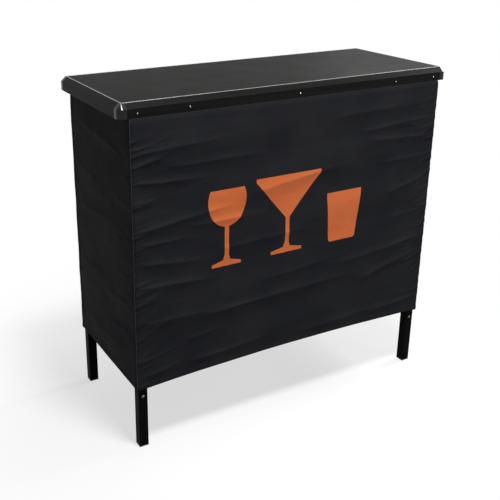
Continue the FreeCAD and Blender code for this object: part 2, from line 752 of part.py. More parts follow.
def check_and_write():
    doc.recompute()
    failed = [item.Label for item in doc.Objects if {"Invalid", "Error"} & set(item.State)]
    broken = [item.Label for item in nodes if item.Shape.isNull() or not item.Shape.isValid()]
    if failed or broken:
        raise RuntimeError(f"failed objects {failed}, broken shapes {broken}")
    os.makedirs("parts", exist_ok=True)
    for item in nodes:
        item.Shape.exportStep(f"parts/{item.Label}.step")
        box = item.Shape.optimalBoundingBox(False)
        print(
            f"{item.Label}: {len(item.Shape.Solids)} solids, {item.Shape.Volume:.0f} mm3, "
            f"x {box.XMin:.1f}..{box.XMax:.1f} y {box.YMin:.1f}..{box.YMax:.1f} z {box.ZMin:.1f}..{box.ZMax:.1f}"
        )


make_panel()
make_bead()
make_long_rails()
make_end_rails()
make_corner_blocks()
make_cross_member("left_cross_member", f"-{MEMBER_PLACE}")
make_cross_member("middle_cross_member", "0")
make_cross_member("right_cross_member", MEMBER_PLACE)
make_rivets()
for side, sign, hinge in (("left", -1, LEFT_HINGE), ("right", 1, RIGHT_HINGE)):
    make_hinge(side, sign, hinge)
    make_leg_frame(side, sign, hinge)
    make_stays(side, sign, hinge)
make_skirt()
check_and_write()
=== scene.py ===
import math

import bpy
from mathutils import Matrix, Vector, noise
from mathutils.geometry import delaunay_2d_cdt


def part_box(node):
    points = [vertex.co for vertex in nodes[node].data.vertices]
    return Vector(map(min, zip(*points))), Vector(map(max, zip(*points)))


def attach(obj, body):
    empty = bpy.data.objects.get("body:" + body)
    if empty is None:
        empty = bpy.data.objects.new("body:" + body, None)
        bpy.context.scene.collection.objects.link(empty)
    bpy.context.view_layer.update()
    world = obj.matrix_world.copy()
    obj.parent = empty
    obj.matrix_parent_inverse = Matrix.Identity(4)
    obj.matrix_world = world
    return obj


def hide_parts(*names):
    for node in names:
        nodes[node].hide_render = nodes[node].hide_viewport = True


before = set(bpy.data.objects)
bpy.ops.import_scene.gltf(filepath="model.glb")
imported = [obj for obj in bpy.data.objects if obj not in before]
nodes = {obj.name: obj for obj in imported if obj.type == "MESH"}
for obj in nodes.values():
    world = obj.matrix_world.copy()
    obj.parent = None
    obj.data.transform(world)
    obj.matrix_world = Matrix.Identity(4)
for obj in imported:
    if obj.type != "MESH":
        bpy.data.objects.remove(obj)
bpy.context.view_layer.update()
scene = bpy.context.scene
scene.view_settings.view_transform = "Standard"

MM = 0.001


# Materials

class Finish:
    """A procedural material, built up from textures that read the frame's own metres."""

    def __init__(self, name, colour, roughness, **sockets):
        self.material = bpy.data.materials.new(name)
        self.material.use_nodes = True
        self.tree = self.material.node_tree
        self.shader = self.tree.nodes["Principled BSDF"]
        self.shader.inputs["Base Color"].default_value = (*colour, 1.0)
        self.shader.inputs["Roughness"].default_value = roughness
        for key, number in sockets.items():
            self.shader.inputs[key.replace("_", " ")].default_value = number
        self.place = self.tree.nodes.new("ShaderNodeTexCoord").outputs["Object"]
        self.normal = None

    def link(self, output, socket):
        self.tree.links.new(output, socket)

    def mapped(self, stretch):
        mapping = self.tree.nodes.new("ShaderNodeMapping")
        mapping.inputs["Scale"].default_value = stretch
        self.link(self.place, mapping.inputs["Vector"])
        return mapping.outputs["Vector"]

    def noise(self, scale, detail=3.0, rough=0.55, stretch=(1, 1, 1)):
        texture = self.tree.nodes.new("ShaderNodeTexNoise")
        texture.inputs["Scale"].default_value = scale
        texture.inputs["Detail"].default_value = detail
        texture.inputs["Roughness"].default_value = rough
        self.link(self.mapped(stretch), texture.inputs["Vector"])
        return texture.outputs["Fac"]

    def cells(self, scale):
        texture = self.tree.nodes.new("ShaderNodeTexVoronoi")
        texture.inputs["Scale"].default_value = scale
        self.link(self.place, texture.inputs["Vector"])
        return texture.outputs["Color"]

    def waves(self, scale, axis, distortion=0.0):
        texture = self.tree.nodes.new("ShaderNodeTexWave")
        texture.bands_direction = axis
        texture.inputs["Scale"].default_value = scale
        texture.inputs["Distortion"].default_value = distortion
        self.link(self.place, texture.inputs["Vector"])
        return texture.outputs["Fac"]

    def sum(self, first, second):
        total = self.tree.nodes.new("ShaderNodeMath")
        total.operation = "ADD"
        self.link(first, total.inputs[0])
        self.link(second, total.inputs[1])
        return total.outputs[0]

    def spread(self, output, low, high, start=0.3, end=0.7):
        span = self.tree.nodes.new("ShaderNodeMapRange")
        for key, number in (("From Min", start), ("From Max", end), ("To Min", low), ("To Max", high)):
            span.inputs[key].default_value = number
        self.link(output, span.inputs["Value"])
        return span.outputs["Result"]

    def colours(self, output, stops):
        ramp = self.tree.nodes.new("ShaderNodeValToRGB")
        elements = ramp.color_ramp.elements
        for index, (position, colour) in enumerate(stops):
            element = elements[index] if index < 2 else elements.new(position)
            element.position = position
            element.color = (*colour, 1.0)
        self.link(output, ramp.inputs["Fac"])
        self.link(ramp.outputs["Color"], self.shader.inputs["Base Color"])

    def gloss(self, output, low, high):
        self.link(self.spread(output, low, high), self.shader.inputs["Roughness"])

    def bump(self, output, strength, height):
        bump = self.tree.nodes.new("ShaderNodeBump")
        bump.inputs["Strength"].default_value = strength
        bump.inputs["Distance"].default_value = height
        self.link(output, bump.inputs["Height"])
        if self.normal is not None:
            self.link(self.normal, bump.inputs["Normal"])
        self.normal = bump.outputs["Normal"]
        self.link(self.normal, self.shader.inputs["Normal"])


def grey(level, warm=0.0):
    return (level * (1 + warm), level, level * (1 - warm))


def laminate_finish():
    finish = Finish("laminate_board", grey(0.02), 0.4, Specular_IOR_Level=0.0065)
    grain = finish.noise(900, 4)
    finish.colours(grain, ((0.3, grey(0.002, 0.06)), (0.72, grey(0.007, 0.06))))
    finish.gloss(finish.noise(16, 5, 0.6), 0.36, 0.41)
    finish.bump(finish.noise(1500, 2), 0.22, 0.00025)
    return finish.material


def bead_finish():
    finish = Finish("bright_bead", grey(0.5), 0.36, Metallic=0.35)
    rubbed = finish.noise(220, 5, 0.65)
    finish.colours(rubbed, ((0.25, grey(0.09, 0.03)), (0.75, grey(0.19, 0.03))))
    finish.gloss(finish.noise(60, 4), 0.34, 0.5)
    finish.bump(finish.noise(700, 3), 0.15, 0.0002)
    return finish.material


def rail_finish(name, stretch):
    finish = Finish(name, grey(0.014), 0.4, Specular_IOR_Level=0.02)
    drawn = finish.noise(90, 4, 0.6, stretch)
    finish.colours(drawn, ((0.25, grey(0.004, 0.03)), (0.8, grey(0.009, 0.03))))
    finish.gloss(finish.noise(30, 5, 0.6, stretch), 0.33, 0.46)
    finish.bump(drawn, 0.12, 0.0003)
    finish.bump(finish.noise(900, 2), 0.08, 0.0002)
    return finish.material


def corner_finish():
    finish = Finish("corner_plastic", grey(0.01), 0.16, Specular_IOR_Level=0.2)
    mottle = finish.noise(160, 4)
    finish.colours(mottle, ((0.3, grey(0.003)), (0.7, grey(0.006, 0.02))))
    finish.gloss(finish.noise(90, 4), 0.12, 0.2)
    finish.bump(finish.noise(420, 2), 0.1, 0.0003)
    return finish.material


def tube_finish():
    finish = Finish("black_tube", grey(0.012), 0.36, Specular_IOR_Level=0.008)
    coat = finish.noise(520, 3)
    finish.colours(coat, ((0.3, grey(0.002)), (0.75, grey(0.005, 0.02))))
    finish.gloss(finish.noise(24, 5, 0.6, (1, 1, 0.25)), 0.27, 0.46)
    finish.bump(coat, 0.2, 0.0003)
    return finish.material


def foot_finish():
    finish = Finish("foot_plastic", grey(0.014), 0.55)
    scuff = finish.noise(300, 6, 0.7)
    finish.colours(scuff, ((0.35, grey(0.010)), (0.85, grey(0.05, 0.03))))
    finish.gloss(scuff, 0.45, 0.7)
    finish.bump(finish.noise(800, 3), 0.25, 0.0003)
    return finish.material


def zinc_finish():
    finish = Finish("zinc_steel", grey(0.27), 0.36, Metallic=1.0)
    spangle = finish.cells(190)
    finish.colours(spangle, ((0.2, (0.20, 0.205, 0.21)), (0.85, (0.33, 0.335, 0.34))))
    finish.gloss(finish.noise(70, 5, 0.65), 0.3, 0.5)
    finish.bump(finish.noise(600, 3), 0.12, 0.0002)
    return finish.material


def fastener_finish(name, level):
    finish = Finish(name, grey(level), 0.24, Metallic=1.0)
    turned = finish.noise(900, 4, 0.6)
    finish.colours(turned, ((0.25, grey(level * 0.8)), (0.8, grey(level * 1.25))))
    finish.gloss(finish.noise(400, 4), 0.18, 0.34)
    finish.bump(turned, 0.1, 0.0002)
    return finish.material


WEAVE = 1250.0


def woven(finish, strength):
    """A plain weave: threads along the panel and up it, with uneven yarns."""
    along = finish.sum(finish.waves(WEAVE, "X"), finish.waves(WEAVE, "Y"))
    threads = finish.sum(along, finish.waves(WEAVE, "Z"))
    finish.bump(threads, strength, 0.00012)
    finish.bump(finish.noise(260, 4, 0.6, (1, 1, 3.0)), strength * 0.5, 0.0004)


def fabric_finish():
    finish = Finish("skirt_fabric", (0.011, 0.011, 0.014), 0.5, Specular_IOR_Level=0.003)
    yarn = finish.noise(420, 5, 0.65, (1, 1, 2.5))
    clouds = finish.noise(9, 4, 0.55)
    mixed = finish.spread(finish.sum(yarn, clouds), 0.0, 1.0, 0.7, 1.3)
    finish.colours(mixed, ((0.1, (0.0109, 0.0113, 0.0141)), (0.9, (0.0161, 0.0165, 0.0182))))
    finish.gloss(finish.noise(60, 5, 0.6), 0.34, 0.44)
    woven(finish, 0.2)
    return finish.material


def print_finish():
    finish = Finish("print_ink", (0.45, 0.105, 0.03), 0.5, Specular_IOR_Level=0.1)
    ink = finish.noise(380, 5, 0.65)
    finish.colours(ink, ((0.25, (0.42, 0.096, 0.027)), (0.75, (0.50, 0.116, 0.034))))
    finish.gloss(finish.noise(60, 4), 0.42, 0.58)
    woven(finish, 0.25)
    return finish.material


def thread_finish(name, level):
    finish = Finish(name, grey(level), 0.6, Specular_IOR_Level=0.03)
    twist = finish.noise(1400, 3)
    finish.colours(twist, ((0.3, grey(level * 0.6, -0.08)), (0.7, grey(level * 1.3, -0.08))))
    finish.gloss(twist, 0.4, 0.6)
    finish.bump(finish.waves(900, "X", 2.0), 0.4, 0.0002)
    return finish.material


def tape_finish():
    finish = Finish("hook_tape", (0.012, 0.012, 0.014), 0.7, Specular_IOR_Level=0.05)
    hooks = finish.cells(900)
    finish.colours(hooks, ((0.2, (0.008, 0.008, 0.01)), (0.8, (0.022, 0.022, 0.026))))
    finish.gloss(finish.noise(300, 4), 0.55, 0.8)
    finish.bump(hooks, 0.5, 0.0004)
    return finish.material


ALONG_X = (0.02, 1, 1)
ALONG_Y = (1, 0.02, 1)
finishes = {
    "laminate_board": laminate_finish(),
    "bright_bead": bead_finish(),
    "long_rail": rail_finish("long_rail", ALONG_X),
    "end_rail": rail_finish("end_rail", ALONG_Y),
    "corner_plastic": corner_finish(),
    "black_tube": tube_finish(),
    "foot_plastic": foot_finish(),
    "zinc_steel": zinc_finish(),
    "fastener_steel": fastener_finish("fastener_steel", 0.26),
    "stud_steel": fastener_finish("stud_steel", 0.13),
    "skirt_fabric": fabric_finish(),
    "print_ink": print_finish(),
    "seam_thread": thread_finish("seam_thread", 0.014),
    # The welts take a lighter level of the thread finish than the stitching: a painted highlight down each
    # front corner.
    "welt_painted_highlight": thread_finish("welt_painted_highlight", 0.034),
    "hook_tape": tape_finish(),
}

NODE_FINISHES = (
    ("_rivets", "fastener_steel"),
    ("_pins", "fastener_steel"),
    ("_stud", "stud_steel"),
    ("_bracket", "zinc_steel"),
    ("_stay", "zinc_steel"),
    ("_cross_member", "zinc_steel"),
    ("_foot", "foot_plastic"),
    ("_leg", "black_tube"),
    ("_crossbar", "black_tube"),
    ("_corner", "corner_plastic"),
    ("front_rail", "long_rail"),
    ("back_rail", "long_rail"),
    ("left_rail", "end_rail"),
    ("right_rail", "end_rail"),
    ("edge_bead", "bright_bead"),
    ("top_panel", "laminate_board"),
)


def dress(item, finish):
    item.data.materials.clear()
    item.data.materials.append(finishes[finish])


# How much each finish's edges are rounded, in mm. Only edges sharper than SHARP_EDGE are.
EDGE_ROUND = {
    "corner_plastic": 0.9,
    "long_rail": 0.7,
    "end_rail": 0.7,
    "zinc_steel": 0.35,
    "foot_plastic": 0.6,
}
SHARP_EDGE = math.radians(35)
EDGE_SEGMENTS = 2

for name, item in nodes.items():
    for ending, finish in NODE_FINISHES:
        if name.endswith(ending):
            dress(item, finish)
            if finish in EDGE_ROUND:
                bevel = item.modifiers.new("edge_round", "BEVEL")
                bevel.width = EDGE_ROUND[finish] * MM
                bevel.segments = EDGE_SEGMENTS
                bevel.limit_method = "ANGLE"
                bevel.angle_limit = SHARP_EDGE
                bevel.harden_normals = True
            break


# Meshes

def add_piece(name, mesh, finish, body, smooth=True):
    item = bpy.data.objects.new(name, mesh)
    scene.collection.objects.link(item)
    mesh.materials.append(finishes[finish])
    if smooth:
        mesh.polygons.foreach_set("use_smooth", [True] * len(mesh.polygons))
    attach(item, body)
    return item


def mesh_from(name, points, faces):
    mesh = bpy.data.meshes.new(name)
    mesh.from_pydata(points, [], faces)
    mesh.validate()
    mesh.update()
    return mesh


# The skirt: one cloth round three sides, held by a hook tape under the front rail

panel_low, panel_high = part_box("skirt_front_panel")
end_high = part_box("skirt_left_panel")[1]
tape_low, tape_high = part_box("skirt_hook_tape")
rail_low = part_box("front_rail")[0]

HALF_WIDTH = panel_high[0]
FRONT_FACE = tape_low[1]
BACK_EDGE = end_high[1]
HEM = panel_low[2]
RAIL_CLEARANCE = 0.0001
PANEL_TOP = rail_low[2] - RAIL_CLEARANCE
HEM_ARCH = 0.012
CORNER_TURN = 0.005
CLOTH = 0.0013
TOP_TUCK = 0.0015
TUCK_REACH = 0.012

# The broad slack bands of the solid panel: their bounds up it, their slant and their depth.
FOLD_LEVELS = (0.0, 0.2, 0.42, 0.63, 0.82, 1.0)
FOLD_SLANT = 0.046
FOLD_DEPTH = 0.003
SLANT_EASE = 0.2

# Folds as start and end, in metres along the panel and up, then height and half widths above and below in mm.
# FOLD_SCALE and FOLD_WIDTH scale all the heights and all the widths.
FRONT_FOLDS = (
    (-0.454, 0.752, -0.380, 0.764, 2.6, 5, 9),
    (-0.454, 0.716, -0.270, 0.702, 3.0, 7, 14),
    (-0.453, 0.660, -0.405, 0.671, 2.4, 5, 9),
    (-0.452, 0.594, -0.200, 0.618, 3.4, 9, 18),
    (-0.449, 0.562, -0.310, 0.556, 2.2, 6, 12),
    (-0.448, 0.509, -0.270, 0.495, 2.6, 8, 16),
    (-0.445, 0.450, -0.250, 0.436, 3.6, 9, 18),
    (-0.452, 0.406, -0.385, 0.428, 2.4, 5, 9),
    (-0.430, 0.349, -0.240, 0.352, 2.2, 9, 20),
    (-0.310, 0.284, -0.210, 0.285, 1.8, 7, 12),
    (-0.287, 0.216, -0.090, 0.232, 3.2, 8, 15),
    (-0.449, 0.202, -0.350, 0.224, 2.8, 6, 10),
    (-0.240, 0.338, 0.215, 0.356, 3.8, 13, 24),
    (0.235, 0.326, 0.425, 0.374, 3.2, 8, 14),
    (0.150, 0.392, 0.456, 0.420, 2.6, 8, 16),
    (0.270, 0.214, 0.456, 0.228, 2.8, 7, 12),
    (0.220, 0.756, 0.453, 0.766, 2.0, 6, 12),
    (0.235, 0.730, 0.456, 0.712, 1.9, 6, 11),
    (-0.418, 0.782, -0.220, 0.794, 2.0, 9, 16),
    (-0.340, 0.744, -0.090, 0.738, 2.0, 10, 18),
    (-0.127, 0.640, 0.140, 0.676, 2.0, 12, 22),
    (-0.200, 0.506, 0.050, 0.522, 2.0, 12, 20),
    (0.030, 0.212, 0.290, 0.226, 2.2, 8, 15),
    (-0.090, 0.400, 0.130, 0.412, 2.2, 11, 18),
    (0.300, 0.572, 0.455, 0.600, 1.8, 6, 12),
    (0.330, 0.490, 0.456, 0.504, 1.6, 6, 11),
    (0.285, 0.655, 0.455, 0.664, 1.5, 7, 12),
    (-0.300, 0.588, -0.110, 0.580, 1.8, 9, 15),
    (0.120, 0.800, 0.330, 0.812, 1.6, 9, 14),
)
# The same for an end panel, along its depth from the back edge to the front seam.
END_FOLDS = (
    (0.010, 0.792, -0.140, 0.770, 2.6, 6, 10),
    (0.080, 0.790, -0.060, 0.776, 1.8, 6, 10),
    (0.166, 0.676, 0.000, 0.664, 1.8, 9, 16),
    (0.121, 0.568, -0.095, 0.584, 2.0, 10, 18),
    (-0.100, 0.648, -0.188, 0.664, 2.2, 5, 9),
    (-0.100, 0.554, -0.188, 0.570, 2.2, 5, 9),
    (0.154, 0.402, -0.010, 0.414, 1.8, 9, 16),
    (-0.020, 0.376, -0.188, 0.408, 2.4, 8, 14),
    (0.090, 0.244, -0.125, 0.254, 2.0, 9, 15),
    (-0.120, 0.462, -0.188, 0.474, 1.8, 5, 9),
    (-0.060, 0.300, -0.188, 0.318, 1.8, 7, 12),
)
# The right end's folds sit lower than the left end's, so that the two ends differ.
END_FOLD_LIFT = {-1: 0.0, 1: 0.018}
END_SLACK = 0.45
END_GATHERS = 0.33


def smooth_step(low, high, number):
    share = min(1.0, max(0.0, (number - low) / (high - low)))
    return share * share * (3 - 2 * share)


FOLD_SCALE = 1.5
FOLD_WIDTH = 0.62
FOLD_CREST = 0.0016
FOLD_WANDER = 0.0022
FOLD_WAVES = 4
FOLD_PHASE = 40
FOLD_WIDENING = 0.9
FOLD_FADE_IN = (-0.15, 0.12)
FOLD_FADE_OUT = (0.55, 1.25)
FOLD_FAR = 5


def fold_height(along, up, folds):
    """The folds' summed height: steep on the upper side, easy on the lower one, fading at the ends."""
    total = 0.0
    for start_x, start_z, end_x, end_z, height, above, below in folds:
        run_x = end_x - start_x
        run_z = end_z - start_z
        share = ((along - start_x) * run_x + (up - start_z) * run_z) / (run_x * run_x + run_z * run_z)
        if not FOLD_FADE_IN[0] < share < FOLD_FADE_OUT[1]:
            continue
        between = min(1.0, max(0.0, share))
        wander = FOLD_WANDER * math.sin(FOLD_WAVES * share + FOLD_PHASE * start_z)
        offset = up - (start_z + run_z * between) - wander
        from_seam = between if abs(start_x) > abs(end_x) else 1 - between
        reach = (above if offset > 0 else below) * MM * FOLD_WIDTH * (1 + FOLD_WIDENING * from_seam)
        if abs(offset) > FOLD_FAR * reach:
            continue
        fade = smooth_step(*FOLD_FADE_IN, share) * (1 - smooth_step(*FOLD_FADE_OUT, share))
        down_slope = math.hypot(offset, FOLD_CREST) - FOLD_CREST
        total += FOLD_SCALE * height * MM * fade * math.exp(-down_slope / reach)
    return total


SWELL_AT_SEAM = 0.15
SWELL_MIDDLE = 0.6
SWELL_CHANGE = 0.4
SWELL_TURN = 0.7


def broad_swell(station, level):
    """The broad slack bands between the sewn edges, the same as the solid panel's."""
    for index, (low, high) in enumerate(zip(FOLD_LEVELS, FOLD_LEVELS[1:])):
        if low <= level <= high:
            share = (level - low) / (high - low)
            wander = SWELL_MIDDLE + SWELL_CHANGE * math.cos(math.pi * (station + SWELL_TURN * index))
            swell = SWELL_AT_SEAM + (wander - SWELL_AT_SEAM) * (1 - station ** 4)
            return FOLD_DEPTH * swell * 0.5 * (1 - math.cos(2 * math.pi * share))
    return 0.0


PUCKER_REACH = 0.055
SHORTEST_REACH = 0.008
REACH_MIDDLE = 0.9
REACH_SPREAD = 1.1
PUCKER_FAR = 6
PUCKER_RISE = 0.3
REACH_CHANGES = 17
CREST_SHARPNESS = 3.2
# Gathers as height, then changes to the metre up the seam and away from it.
PUCKERS = ((0.0028, 34, 7), (0.0013, 78, 12))


def crests(place):
    """Noise drawn up into thin crests: 1 on a crest and 0 between crests."""
    return max(0.0, 1 - CREST_SHARPNESS * abs(noise.noise(place))) ** 2


def puckers(distance, up, rise, seed):
    """Small uneven gathers that the stitching draws up beside a seam, on a slant, some longer than others."""
    if distance > PUCKER_FAR * PUCKER_REACH:
        return 0.0
    level = up - rise * distance
    longer = noise.noise(Vector((level * REACH_CHANGES, seed, 0)))
    reach = max(SHORTEST_REACH, PUCKER_REACH * (REACH_MIDDLE + REACH_SPREAD * longer))
    total = 0.0
    for height, upward, away in PUCKERS:
        total += height * crests(Vector((level * upward, seed + upward, distance * away)))
    return total * math.exp(-distance / reach)


# Fine slack as height, then changes to the metre along the panel and up it.
CRUMPLES = ((0.0007, 9, 26), (0.0003, 22, 55))


def crumple(along, up, seed):
    """Fine uneven slack, longer along the panel than up it."""
    total = 0.0
    for height, across, upward in CRUMPLES:
        total += height * noise.noise(Vector((along * across, up * upward, seed + across)))
    return total


HEM_LINE = 0.0115
HEM_TURN = (0.0125, 0.0140)
HEM_STEP = 0.0007
GROOVE_DEPTH = 0.0006
GROOVE_WIDTH = 0.0012


def hem_step(from_edge):
    """The turned-up hem: a doubled edge that ends in a stitched groove."""
    doubled = HEM_STEP * (1 - smooth_step(*HEM_TURN, from_edge))
    groove = GROOVE_DEPTH * math.exp(-(((from_edge - HEM_LINE) / GROOVE_WIDTH) ** 2))
    return doubled - groove


HANG_START = 0.004
HANG_FULL = 0.05


def hanging(up):
    """1 where the cloth hangs free, falling to 0 where the tape holds it."""
    return 1 - smooth_step(PANEL_TOP - HANG_FULL, PANEL_TOP - HANG_START, up)


def near_seam(distance, reach, least):
    """A share that grows from least at a seam to 1 at reach."""
    return least + (1 - least) * smooth_step(0.0, reach, distance)


def slack(along, up, half, seed, hem):
    """How far the loose cloth stands out from its flat place, before it is drawn into folds."""
    drop = PANEL_TOP - hem
    level = (up - hem) / drop
    station = along / half
    free = smooth_step(0, SLANT_EASE, level) * (1 - smooth_step(1 - SLANT_EASE, 1, level))
    tilted = level - FOLD_SLANT * station / drop * free
    return broad_swell(station, min(1.0, max(0.0, tilted))) + crumple(along, up, seed)


# How each kind of form eases towards a seam: over what distance, and the share left at the seam.
SLACK_EASE = (0.02, 0.3)
FOLD_EASE = (0.05, 0.2)
PUCKER_EASE = (0.004, 0.0)
FRONT_SEED = 1.0
FRONT_SEAM_SEEDS = {-1: 32.5, 1: 29.5}
END_SEEDS = {-1: 27.0, 1: 53.0}


def front_swell(x, z, hem):
    side = 1 if x > 0 else -1
    to_seam = HALF_WIDTH - abs(x)
    loose = slack(x, z, HALF_WIDTH, FRONT_SEED, hem) * near_seam(to_seam, *SLACK_EASE)
    drawn = fold_height(x, z, FRONT_FOLDS) * near_seam(to_seam, *FOLD_EASE)
    gathers = puckers(to_seam, z, -side * PUCKER_RISE, FRONT_SEAM_SEEDS[side])
    gathers *= near_seam(to_seam, *PUCKER_EASE)
    return (loose + drawn + gathers) * hanging(z) + hem_step(z - hem)


def end_swell(y, z, side):
    middle = (BACK_EDGE + FRONT_FACE) / 2
    to_seam = y - FRONT_FACE
    loose = slack(middle - y, z, middle - FRONT_FACE, END_SEEDS[side], HEM)
    loose *= near_seam(to_seam, *SLACK_EASE)
    drawn = END_SLACK * fold_height(y, z + END_FOLD_LIFT[side], END_FOLDS)
    drawn *= near_seam(to_seam, *FOLD_EASE)
    gathers = END_GATHERS * puckers(to_seam, z, PUCKER_RISE, END_SEEDS[side])
    gathers *= near_seam(to_seam, *PUCKER_EASE)
    return (loose + drawn + gathers + hem_step(BACK_EDGE - y)) * hanging(z) + hem_step(z - HEM)


def hem_height(x):
    return HEM + HEM_ARCH * (1 - (x / HALF_WIDTH) ** 2)


def spaced(start, end, step):
    count = max(2, round(abs(end - start) / step))
    return [start + (end - start) * index / count for index in range(count + 1)]


TURN_STEP = 15


def skirt_stations(step):
    """Stations round the skirt, seen from above: place, outward direction, and which panel it is in."""
    turn_x = HALF_WIDTH - CORNER_TURN
    turn_y = FRONT_FACE + CORNER_TURN
    stations = []

    def corner(x, start, end):
        for angle in spaced(start, end, TURN_STEP):
            out = Vector((math.cos(math.radians(angle)), math.sin(math.radians(angle))))
            stations.append((Vector((x, turn_y)) + out * CORNER_TURN, out, 0))

    for y in spaced(BACK_EDGE, turn_y, step)[:-1]:
        stations.append((Vector((-HALF_WIDTH, y)), Vector((-1, 0)), -1))
    corner(-turn_x, 180, 270)
    for x in spaced(-turn_x, turn_x, step)[1:-1]:
        stations.append((Vector((x, FRONT_FACE)), Vector((0, -1)), 0))
    corner(turn_x, 270, 360)
    for y in spaced(turn_y, BACK_EDGE, step)[1:]:
        stations.append((Vector((HALF_WIDTH, y)), Vector((1, 0)), 1))
    return stations


def cloth_point(place, out, side, z):
    """A point on the cloth's outer face."""
    if side == 0:
        swell = front_swell(place.x, z, hem_height(place.x))
    else:
        swell = end_swell(place.y, z, side)
    tuck = TOP_TUCK * smooth_step(PANEL_TOP - TUCK_REACH, PANEL_TOP, z)
    spot = place + out * (swell - tuck)
    return Vector((spot.x, spot.y, z))


STEP = 0.0055
RISE = 0.0021


def make_skirt():
    """The cloth as a grid of points on its outer face, a like grid behind it, and a rim that joins them."""
    stations = skirt_stations(STEP)
    levels = spaced(0.0, 1.0, RISE / (PANEL_TOP - HEM))
    outer = []
    inner = []
    for level in levels:
        for place, out, side in stations:
            hem = hem_height(place.x)
            spot = cloth_point(place, out, side, hem + level * (PANEL_TOP - hem))
            outer.append(spot)
            inner.append(spot - out.to_3d() * CLOTH)
    columns = len(stations)
    rows = len(levels)
    behind = len(outer)
    faces = []
    for row in range(rows - 1):
        for column in range(columns - 1):
            low = row * columns + column
            ring = [low, low + 1, low + columns + 1, low + columns]
            faces.append(ring)
            faces.append([behind + index for index in reversed(ring)])
    hem_row = list(range(columns))
    top_row = [(rows - 1) * columns + column for column in range(columns)]
    left_edge = [row * columns for row in range(rows)]
    right_edge = [row * columns + columns - 1 for row in range(rows)]
    rim = hem_row + right_edge[1:] + top_row[-2::-1] + left_edge[-2:0:-1]
    for first, second in zip(rim, rim[1:] + rim[:1]):
        faces.append([second, first, behind + first, behind + second])
    mesh = mesh_from("skirt_cloth", outer + inner, faces)
    return add_piece("skirt_cloth", mesh, "skirt_fabric", "skirt")


skirt = make_skirt()
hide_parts("skirt_front_panel", "skirt_left_panel", "skirt_right_panel")


# Stitching, seams, tape and rivets

def join_rings(first, count, sides, faces):
    """Joins equal rings of points into a closed tube."""
    for index in range(count - 1):
        low = first + index * sides
        for turn in range(sides):
            following = (turn + 1) % sides
            faces.append([low + turn, low + sides + turn, low + sides + following, low + following])
    faces.append([first + turn for turn in range(sides)])
    last = first + (count - 1) * sides
    faces.append([last + turn for turn in reversed(range(sides))])


UPRIGHT = 0.8
END_TAPER = 0.55


def tube(line, radius, sides, points, faces):
    """A closed round tube along a line, with narrowed ends, added to a list of points and faces."""
    first = len(points)
    last = len(line) - 1
    for index, spot in enumerate(line):
        ahead = (line[min(index + 1, last)] - line[max(index - 1, 0)]).normalized()
        helper = Vector((0, 0, 1)) if abs(ahead.z) < UPRIGHT else Vector((1, 0, 0))
        side = ahead.cross(helper).normalized()
        up = side.cross(ahead)
        size = radius if 0 < index < last else radius * END_TAPER
        for turn in range(sides):
            angle = 2 * math.pi * turn / sides
            points.append(spot + (side * math.cos(angle) + up * math.sin(angle)) * size)
    join_rings(first, len(line), sides, faces)


def front_spot(x, z, proud):
    return cloth_point(Vector((x, FRONT_FACE)), Vector((0, -1)), 0, z) + Vector((0, -proud, 0))


def end_spot(side, y, z, proud):
    place = Vector((side * HALF_WIDTH, y))
    return cloth_point(place, Vector((side, 0)), side, z) + Vector((side * proud, 0, 0))


STITCH = 0.0042
STITCH_GAP = 0.0014
STITCH_SHARES = (0.0, 0.25, 0.75, 1.0)
THREAD = 0.00042
THREAD_SIDES = 6
THREAD_PROUD = 0.6 * THREAD
SEAM_LINE = 0.007
LINE_END = 0.004


def make_stitching():
    points = []
    faces = []

    def run(spot, start, end):
        """Stitches along a line on the cloth, from its start to its end."""
        pitch = STITCH + STITCH_GAP
        for index in range(int((end - start) / pitch)):
            at = start + index * pitch
            stitch = [spot(at + STITCH * share) for share in STITCH_SHARES]
            tube(stitch, THREAD, THREAD_SIDES, points, faces)

    seam = HALF_WIDTH - SEAM_LINE
    top = PANEL_TOP - LINE_END
    back = BACK_EDGE - HEM_LINE
    run(lambda x: front_spot(x, hem_height(x) + HEM_LINE, THREAD_PROUD), LINE_END - seam, seam - LINE_END)
    for side in (-1, 1):
        run(lambda y: end_spot(side, y, HEM + HEM_LINE, THREAD_PROUD), FRONT_FACE + SEAM_LINE, back)
        run(lambda z: end_spot(side, back, z, THREAD_PROUD), HEM + HEM_TURN[1], top)
        run(lambda z: front_spot(side * seam, z, THREAD_PROUD), HEM + LINE_END, top)
    mesh = mesh_from("skirt_stitching", points, faces)
    return add_piece("skirt_stitching", mesh, "seam_thread", "skirt")


WELT = 0.0011
WELT_SIDES = 8
WELT_PROUD = 0.0004
WELT_WANDER = 0.0009
WELT_CHANGES = 70
WELT_STEP = 0.003
WELT_END = 0.001


def make_welts():
    """The sewn ridge down each front corner, in a lighter thread colour that paints a highlight along it."""
    points = []
    faces = []
    for side in (-1, 1):
        out = Vector((side, -1)).normalized()
        place = Vector((side * (HALF_WIDTH - CORNER_TURN), FRONT_FACE + CORNER_TURN)) + out * CORNER_TURN
        line = []
        for z in spaced(HEM + WELT_END, PANEL_TOP - WELT_END, WELT_STEP):
            wander = WELT_WANDER * noise.noise(Vector((z * WELT_CHANGES, side, 0)))
            line.append(cloth_point(place, out, 0, z) + out.to_3d() * (WELT_PROUD + wander))
        tube(line, WELT, WELT_SIDES, points, faces)
    mesh = mesh_from("corner_welts", points, faces)
    # The welt's lighter finish is a painted highlight, not a different thread.
    return add_piece("corner_welts", mesh, "welt_painted_highlight", "skirt")


TAPE_CHAMFER = 0.0002
TAPE_SLIP = 0.0001
TAPE_BEHIND = 0.001
TAPE_STEP = 0.01
TAPE_SAG = 0.0003
TAPE_CHANGES = 25


